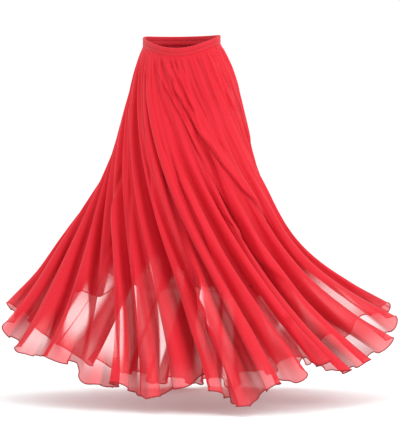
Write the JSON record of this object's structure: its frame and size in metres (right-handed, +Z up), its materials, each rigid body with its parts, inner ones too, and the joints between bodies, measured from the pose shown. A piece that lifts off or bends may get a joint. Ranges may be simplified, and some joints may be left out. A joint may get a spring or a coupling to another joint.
{
  "type": "dance skirt",
  "caption": "Flared chiffon dance skirt with a shorter lining and an elastic waistband, hollow and open at waist and hem, held in the swirl of a turn",
  "frame": {"origin": "the middle of the waistband's ring, half way up the band at the back and sides, where the body passes through", "axes": "+Z up through the waist opening; +X along the long way of the spread hem, to the right as the picture shows it; +Y away from the viewer, the short way of the hem"},
  "size_m": [1.1096, 0.746, 1.0241],
  "materials": {
    "band": "chiffon casing over elastic, matt with a soft sheen",
    "chiffon": "sheer red chiffon, matt, pale where one layer shows alone",
    "lining": "light opaque lining, matt"
  },
  "bodies": {
    "root": {"waistband": "band", "outer_front": "chiffon", "outer_back": "chiffon", "lining_front": "lining", "lining_back": "lining"}
  },
  "joints": []
}
